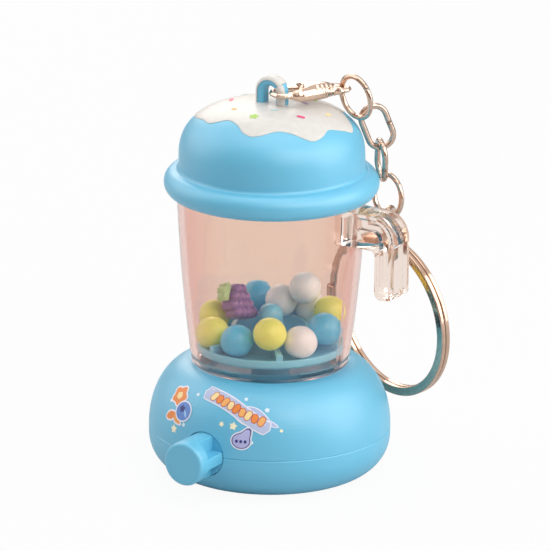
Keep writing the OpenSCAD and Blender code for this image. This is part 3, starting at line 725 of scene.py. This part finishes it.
def softened(name, node, width, material, body, segments=3):
    """A copy of a CAD node with its flat faces made whole and its sharp edges rounded.

    It stands for the node.
    """
    bm = bmesh.new()
    bm.from_mesh(nodes[node].data)
    bmesh.ops.remove_doubles(bm, verts=bm.verts[:], dist=0.002 * MM)
    bmesh.ops.dissolve_limit(bm, angle_limit=FLAT_WITHIN, verts=bm.verts[:], edges=bm.edges[:])
    mesh = bpy.data.meshes.new(name)
    bm.to_mesh(mesh)
    bm.free()
    mesh.materials.clear()
    mesh.materials.append(material)
    mesh.shade_smooth()
    obj = bpy.data.objects.new(name, mesh)
    bpy.context.collection.objects.link(obj)
    edge = obj.modifiers.new("edge", "BEVEL")
    edge.width = width
    edge.segments = segments
    edge.limit_method = "ANGLE"
    edge.angle_limit = SHARP_FROM
    edge.harden_normals = True
    edge.use_clamp_overlap = True
    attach(obj, body)
    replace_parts(obj, node)
    return obj


softened("handle_moulded", "handle", 0.3 * MM, clear_handle, "housing", 4)
softened("plunger_moulded", "plunger", 0.14 * MM, sky, "plunger")
softened("turntable_moulded", "turntable", 0.16 * MM, tray_blue_painted_light, "turntable")
softened("lever_cast", "clasp_lever", 0.12 * MM, nickel, "clasp_lever")
softened("leaf_moulded", "grape_leaf", 0.14 * MM, leaf_resin, "turntable")

# ---------------------------------------------------------------- clasp

CLASP_TURN = math.radians(49.8)
CLASP_LEG = Vector((1.95, 0, 64.6)) * MM

# The cast body's outline, in millimetres along the clasp from the loop's leg, and across it
HOOK_AT, HOOK_R = 0.44, 2.6
CAST_BELLY_AT, CAST_BELLY_R = 2.5, 3.0
TAPER_AT, TAPER_HALF_W, TAPER_SLOPE = 3.4, 2.86, 0.319
NECK_AT, NECK_HALF_W = 8.6, 1.2
EYE_AT, EYE_R, EYE_HOLE_R, EYE_HOLE_LONG = 10.05, 1.68, 0.75, 0.45
THROAT_R, THROAT_END = 1.6, 1.6
GATE_FROM, GATE_TO, GATE_TOP = 1.15, 3.05, -0.85
CAST_START, CAST_END = -2.15, 11.72
CAST_STEP = 0.17

# Its thickness, and the shallow marks across its flank: place and half width of each
THICK_AT, THICK_TAPER_HOOK, THICK_TAPER_EYE = 6.1, 8.0, 4.2
HALF_THIN, HALF_SWELL, HALF_HOOK = 0.48, 0.92, 0.46
MARKS = ((5.3, 0.32), (6.2, 0.24), (7.0, 0.30), (7.8, 0.2))
MARK_DEPTH = 0.13


def at_clasp(x, y, z):
    """A point of the clasp, in millimetres along it, across it and up, in the row frame."""
    c, s = math.cos(CLASP_TURN), math.sin(CLASP_TURN)
    return CLASP_LEG + Vector((c * x + s * y, s * x - c * y, -z)) * MM


def clasp_half_width(x):
    """Half the clasp's width along it: hook, belly, neck and eye run into each other."""
    hook = math.sqrt(max(0.0, HOOK_R ** 2 - (x - HOOK_AT) ** 2))
    belly_w = math.sqrt(max(0.0, CAST_BELLY_R ** 2 - (x - CAST_BELLY_AT) ** 2)) if x > HOOK_AT else 0.0
    taper = TAPER_HALF_W - (x - TAPER_AT) * TAPER_SLOPE if TAPER_AT < x < NECK_AT else 0.0
    eye = math.sqrt(max(0.0, EYE_R ** 2 - (x - EYE_AT) ** 2))
    neck = NECK_HALF_W if NECK_AT <= x < EYE_AT else 0.0
    return max(hook, belly_w, taper, eye, neck)


def clasp_body():
    """The cast body: a plate with lens-shaped sides, the hook's throat, the eye and a few shallow marks."""
    xs = [CAST_START + (CAST_END - CAST_START) * (0.5 - 0.5 * math.cos(math.pi * k / 90)) for k in range(91)]
    upper = [(x, clasp_half_width(x)) for x in xs]
    lower = [(x, -w) for x, w in reversed(upper)]
    rim = upper + [(x, y) for x, y in lower if x > GATE_TO]
    # the gate that the lever closes
    rim += [(GATE_TO, -2.95), (GATE_TO, GATE_TOP), (GATE_FROM, GATE_TOP), (GATE_FROM, -2.5)]
    rim += [(x, y) for x, y in lower if x < GATE_FROM]
    throat = []
    for at, start in ((HOOK_AT, 0.5), (THROAT_END, 1.5)):
        for a in np.linspace(start * math.pi, (start + 1) * math.pi, 24):
            throat.append((at + THROAT_R * math.cos(a), THROAT_R * math.sin(a)))
    turns = np.linspace(0, TAU, 32, endpoint=False)
    eye = [(EYE_AT + EYE_HOLE_R * math.cos(a), EYE_HOLE_R * math.sin(a)) for a in turns]
    eye = [(x - (EYE_HOLE_LONG if x < EYE_AT else 0), y) for x, y in eye]
    verts, faces = pillow(rim, [throat, eye], CAST_STEP, clasp_swell)
    obj = piece("clasp_cast", [at_clasp(*v) for v in verts], faces, nickel, "clasp")
    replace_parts(obj, "clasp_body")
    return obj


def clasp_swell(x, y, d):
    """Half thickness at a point that lies d inside the outline."""
    t = (x - THICK_AT) / (THICK_TAPER_HOOK if x < THICK_AT else THICK_TAPER_EYE)
    half = HALF_THIN + HALF_SWELL * max(0.0, 1 - t * t)
    if x < 2.4:
        # the hook stays thin, and swells into the belly
        half = HALF_HOOK + (half - HALF_HOOK) * max(0.0, (x - 0.4) / 2.0)
    if x < 1.5:
        reach = 0.55
    elif x < NECK_AT:
        reach = min(1.5, 0.55 + (x - 1.5) * 0.5)
    else:
        reach = 0.8
    lens = math.sqrt(max(0.0, 1 - (1 - min(d / reach, 1)) ** 2))
    mark = 0.0
    for at, wide in MARKS:
        if abs(x - at) < wide and y > 0.4 and 0.18 < d < 1.1:
            mark = MARK_DEPTH * math.cos(math.pi / 2 * (x - at) / wide) ** 0.5
    return max(0.0, half * lens - mark)


def inside(point, loop):
    x, y = point
    hit = False
    for i, (x1, y1) in enumerate(loop):
        x0, y0 = loop[i - 1]
        if (y0 > y) != (y1 > y) and x < (x1 - x0) * (y - y0) / (y1 - y0) + x0:
            hit = not hit
    return hit


def pillow(rim, holes, step, swell):
    """A closed plate over an outline with holes. swell gives half its thickness at a point and depth inside."""
    loops = [rim] + holes
    points, edges = [], []
    for loop in loops:
        fine = []
        for i, (x, y) in enumerate(loop):
            x0, y0 = loop[i - 1]
            parts = max(1, int(math.hypot(x - x0, y - y0) / step))
            fine += [(x0 + (x - x0) * k / parts, y0 + (y - y0) * k / parts) for k in range(parts)]
        start = len(points)
        points += fine
        edges += [(start + i, start + (i + 1) % len(fine)) for i in range(len(fine))]
    segments = np.array([(*points[a], *points[b]) for a, b in edges])

    def depth(x, y):
        ax, ay, bx, by = segments.T
        dx, dy = bx - ax, by - ay
        t = np.clip(((x - ax) * dx + (y - ay) * dy) / np.maximum(dx * dx + dy * dy, 1e-12), 0, 1)
        return float(np.sqrt((ax + t * dx - x) ** 2 + (ay + t * dy - y) ** 2).min())

    low = np.array(rim).min(0)
    high = np.array(rim).max(0)
    for i in range(int((high[0] - low[0]) / step) + 1):
        for j in range(int((high[1] - low[1]) / step) + 1):
            p = (low[0] + (i + 0.5 * (j % 2)) * step, low[1] + j * step)
            if inside(p, rim) and not any(inside(p, h) for h in holes) and depth(*p) > step * 0.45:
                points.append(p)
    flat, _, tris, _, _, _ = delaunay_2d_cdt([Vector(p) for p in points], edges, [], 0, 1e-6)
    keep = []
    for tri in tris:
        cx, cy = (sum(flat[k][i] for k in tri) / 3 for i in (0, 1))
        if inside((cx, cy), rim) and not any(inside((cx, cy), h) for h in holes):
            keep.append(tuple(tri))
    deep = [depth(*p) for p in flat]
    tops, bottoms, verts = {}, {}, []
    for k, p in enumerate(flat):
        h = swell(p[0], p[1], deep[k])
        tops[k] = len(verts)
        verts.append((p[0], p[1], h))
        if h > 1e-4:
            bottoms[k] = len(verts)
            verts.append((p[0], p[1], -h))
        else:
            bottoms[k] = tops[k]
    faces = [tuple(tops[k] for k in tri) for tri in keep]
    faces += [tuple(bottoms[k] for k in reversed(tri)) for tri in keep]
    return verts, faces


clasp_body()

# ---------------------------------------------------------------- springs


def coil_path(radius, turns, length, start, along_axis, across, up):
    """Points and outward directions of a helix with closed end turns."""
    n = int(turns * 28)
    ends = 1.4 / turns
    path, outs = [], []
    for k in range(n + 1):
        t = k / n
        a = TAU * turns * t
        if t < ends:
            rise = t * 0.35
        elif t > 1 - ends:
            rise = 1 - (1 - t) * 0.35
        else:
            rise = ends * 0.35 + (t - ends) / (1 - 2 * ends) * (1 - 0.7 * ends)
        out = across * math.cos(a) + up * math.sin(a)
        path.append(start + along_axis * length * rise + out * radius)
        outs.append(out)
    return path, outs


def springs():
    low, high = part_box("return_spring")
    wire = 0.175 * MM
    centre = Vector(((low.x + high.x) / 2, low.y + wire, (low.z + high.z) / 2))
    path, outs = coil_path((high.x - low.x) / 2 - wire, 11, high.y - low.y - 2 * wire, centre,
                           Vector((0, 1, 0)), Vector((1, 0, 0)), Vector((0, 0, 1)))
    verts, faces = tube(path, outs, round_section(wire, 12))
    spring = piece("return_coil", verts, faces, zinc, "housing")
    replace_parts(spring, "return_spring")
    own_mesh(spring)

    # the clasp's own spring, between the lever and the bottom of its pocket
    foot, top, wire = at_clasp(5.2, -0.78, 0), at_clasp(5.2, 0.45, 0), 0.06 * MM
    axis = (top - foot).normalized()
    ahead = (at_clasp(6.2, -0.78, 0) - foot).normalized()
    path, outs = coil_path(0.27 * MM, 5, (top - foot).length, foot, axis, ahead, axis.cross(ahead))
    verts, faces = tube(path, outs, round_section(wire, 10))
    spring = piece("clasp_coil", verts, faces, zinc, "clasp")
    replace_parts(spring, "clasp_spring")
    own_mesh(spring)


springs()

# ---------------------------------------------------------------- chain and rings


def hoop(name, node, wire, body, gap_at, material):
    """A round ring bent from wire, with the cut where its ends meet."""
    centre, long, wide, _, reach = lie_of(node)
    radius = reach[0] / 2 - wire
    cut = 0.10 * MM / radius
    path, outs = [], []
    for k in range(97):
        a = gap_at + cut / 2 + (TAU - cut) * k / 96
        out = long * math.cos(a) + wide * math.sin(a)
        path.append(centre + out * radius)
        outs.append(out)
    verts, faces = tube(path, outs, round_section(wire, 24))
    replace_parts(piece(name, verts, faces, material, body), node)


def oval(name, node, wire, body, material, cut_side=1):
    """An oval link bent from wire: two straight sides, two bends, and the cut in the middle of one side."""
    centre, long, wide, _, reach = lie_of(node)
    half_w = reach[1] / 2 - wire
    half_s = reach[0] / 2 - wire - half_w
    half_cut = 0.04 * MM
    cut_x = half_w * cut_side
    bend = np.linspace(0, math.pi, 25)[1:]
    flat = [(cut_x, y) for y in np.linspace(half_cut, half_s, 6)]
    flat += [(cut_x * math.cos(a), half_s + half_w * math.sin(a)) for a in bend]
    flat += [(-cut_x, y) for y in np.linspace(half_s, -half_s, 10)[1:]]
    flat += [(-cut_x * math.cos(a), -half_s - half_w * math.sin(a)) for a in bend]
    flat += [(cut_x, y) for y in np.linspace(-half_s, -half_cut, 6)[1:]]
    path = [centre + wide * x + long * y for x, y in flat]
    outs = []
    for x, y in flat:
        core = y - math.copysign(min(abs(y), half_s), y)
        out = wide * x + long * core
        outs.append(out.normalized())
    verts, faces = tube(path, outs, round_section(wire, 24))
    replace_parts(piece(name, verts, faces, material, body), node)


hoop("jump_ring_a", "jump_ring_upper", 0.45 * MM, "ring_upper", 0.6, nickel)
hoop("jump_ring_b", "jump_ring_lower", 0.45 * MM, "ring_lower", 2.1, nickel)
oval("oval_link_a", "chain_link_1", 0.5 * MM, "link_1", nickel)
oval("oval_link_b", "chain_link_2", 0.5 * MM, "link_2", nickel, -1)
oval("oval_link_c", "chain_link_3", 0.5 * MM, "link_3", nickel)


def key_ring():
    """The split ring: one flat band wound twice, with the step where it crosses between its two levels."""
    centre, long, wide, normal, reach = lie_of("split_ring")
    if normal.y > 0:
        normal = -normal
    band, thick = 1.54 * MM, 0.82 * MM
    radius = reach[0] / 2 - 0.8 * MM
    level = 0.45 * MM  # of each turn, to either side of the middle
    step = math.radians(26)  # half the stretch in which the band crosses over
    at = math.radians(308)  # where it crosses: behind the cup
    slack = 0.04  # radians that each end stops short by
    path, outs = [], []
    count = 340
    for k in range(count + 1):
        a = step + slack + (2 * TAU - 2 * step - 2 * slack) * k / count
        t = min(1.0, max(0.0, (a - (TAU - step)) / (2 * step)))
        height = level * (2 * (t * t * (3 - 2 * t)) - 1)
        out = wide * math.cos(a + at) + long * math.sin(a + at)
        path.append(centre + out * radius + normal * height)
        outs.append(out)
    verts, faces = tube(path, outs, soft_box_section(thick / 2, band / 2, 0.2 * MM))
    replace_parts(piece("split_ring_wound", verts, faces, nickel_ring, "key_ring"), "split_ring")


key_ring()

# ---------------------------------------------------------------- stage, light and camera

def build_stage():
    """A plain floor. It shows white to the camera and through clear plastic."""
    size = 1.2
    mesh = bpy.data.meshes.new("floor")
    corners = [(-size, -size, 0), (size, -size, 0), (size, size, 0), (-size, size, 0)]
    mesh.from_pydata(corners, [], [(0, 1, 2, 3)])
    floor = bpy.data.objects.new("floor", mesh)
    bpy.context.collection.objects.link(floor)
    t = Tree("floor")
    t.set(Base_Color=(0.62, 0.62, 0.62, 1), Roughness=0.9)
    t.shader.inputs["Specular IOR Level"].default_value = 0.1
    glow = t.add("ShaderNodeEmission", Color=(1, 1, 1, 1), Strength=1.0)
    path = t.add("ShaderNodeLightPath")
    seen = t.math("MAXIMUM", path.outputs["Is Camera Ray"], path.outputs["Is Transmission Ray"])
    mixer = t.add("ShaderNodeMixShader")
    t.link(t.math("MULTIPLY", seen, 0.94), mixer.inputs["Fac"])
    t.link(t.shader.outputs["BSDF"], mixer.inputs[1])
    t.link(glow.outputs["Emission"], mixer.inputs[2])
    t.link(mixer.outputs["Shader"], t.output.inputs["Surface"])
    mesh.materials.append(t.material)


# What metal reflects, from straight down (0) to straight up (1): a soft room with light and dark bands
ROOM = [(0.0, rgb(214, 164, 132)), (0.34, rgb(186, 124, 94)), (0.43, rgb(255, 246, 238)),
        (0.47, rgb(84, 54, 46)), (0.52, rgb(62, 42, 38)), (0.57, rgb(246, 222, 204)),
        (0.68, rgb(120, 88, 76)), (0.78, rgb(255, 250, 246))]


def build_world():
    """White behind the object, seen directly or through clear plastic; a soft room for metal to reflect."""
    world = bpy.data.worlds.new("studio")
    bpy.context.scene.world = world
    world.use_nodes = True
    tree, links = world.node_tree.nodes, world.node_tree.links
    tree.clear()

    def background(strength):
        back = tree.new("ShaderNodeBackground")
        back.inputs["Color"].default_value = (1, 1, 1, 1)
        back.inputs["Strength"].default_value = strength
        return back

    def choose(fac, a, b):
        mixer = tree.new("ShaderNodeMixShader")
        links.new(fac, mixer.inputs["Fac"])
        links.new(a, mixer.inputs[1])
        links.new(b, mixer.inputs[2])
        return mixer.outputs["Shader"]

    out = tree.new("ShaderNodeOutputWorld")
    path = tree.new("ShaderNodeLightPath")
    where = tree.new("ShaderNodeTexCoord")
    split = tree.new("ShaderNodeSeparateXYZ")
    links.new(where.outputs["Generated"], split.inputs["Vector"])
    height = tree.new("ShaderNodeMath")
    height.operation = "MULTIPLY_ADD"
    height.inputs[1].default_value = 0.5
    height.inputs[2].default_value = 0.5
    links.new(split.outputs["Z"], height.inputs[0])
    ramp = tree.new("ShaderNodeValToRGB")
    while len(ramp.color_ramp.elements) < len(ROOM):
        ramp.color_ramp.elements.new(0.5)
    for element, (at, colour) in zip(ramp.color_ramp.elements, ROOM):
        element.position = at
        element.color = colour
    links.new(height.outputs[0], ramp.inputs["Fac"])
    plain = background(0.34)
    white = background(1.0)
    room = background(0.9)
    links.new(ramp.outputs["Color"], room.inputs["Color"])
    shown = choose(path.outputs["Is Glossy Ray"], plain.outputs[0], room.outputs[0])
    shown = choose(path.outputs["Is Transmission Ray"], shown, white.outputs[0])
    shown = choose(path.outputs["Is Camera Ray"], shown, white.outputs[0])
    links.new(shown, out.inputs["Surface"])


LAMP_AIM = (0, 0, 0.035)
LAMPS = [
    # name, place, size, power in watts, colour
    ("key", (0.40, -0.22, 0.40), 0.40, 1.15, (1.0, 0.99, 0.97)),
    ("fill", (-0.40, -0.10, 0.24), 0.50, 0.88, (0.98, 0.99, 1.0)),
    ("top", (0.0, -0.02, 0.50), 0.45, 0.8, (1, 1, 1)),
    ("side", (0.42, 0.16, 0.22), 0.50, 1.6, (1, 1, 1)),
    ("rim", (-0.30, 0.32, 0.26), 0.30, 0.6, (1.0, 0.96, 0.93)),
]


def lamp(name, place, size, power, colour):
    data = bpy.data.lights.new(name, "AREA")
    data.shape = "DISK"
    data.size = size
    data.energy = power
    data.color = colour
    obj = bpy.data.objects.new(name, data)
    obj.location = place
    obj.rotation_euler = (Vector(LAMP_AIM) - Vector(place)).to_track_quat("-Z", "Y").to_euler()
    bpy.context.collection.objects.link(obj)


def build_camera():
    c, s = math.cos(CAMERA_AZIMUTH), math.sin(CAMERA_AZIMUTH)
    right = Vector((c, s, 0))
    back = Vector((s * math.cos(CAMERA_ELEVATION), -c * math.cos(CAMERA_ELEVATION), math.sin(CAMERA_ELEVATION)))
    up = back.cross(right)
    to_right, to_up, height = CAMERA_AIM
    place = Vector((0, 0, height)) + right * to_right + up * to_up + back * CAMERA_DISTANCE
    turned_right = right * math.cos(CAMERA_ROLL) + up * math.sin(CAMERA_ROLL)
    turned_up = up * math.cos(CAMERA_ROLL) - right * math.sin(CAMERA_ROLL)
    data = bpy.data.cameras.new("camera")
    data.lens = CAMERA_LENS
    data.sensor_width = 36
    data.clip_end = 10
    obj = bpy.data.objects.new("camera", data)
    obj.matrix_world = Matrix((turned_right, turned_up, back)).transposed().to_4x4()
    obj.location = place
    bpy.context.collection.objects.link(obj)
    bpy.context.scene.camera = obj


build_stage()
build_world()
for settings in LAMPS:
    lamp(*settings)
build_camera()
bpy.context.scene.view_settings.view_transform = "Standard"
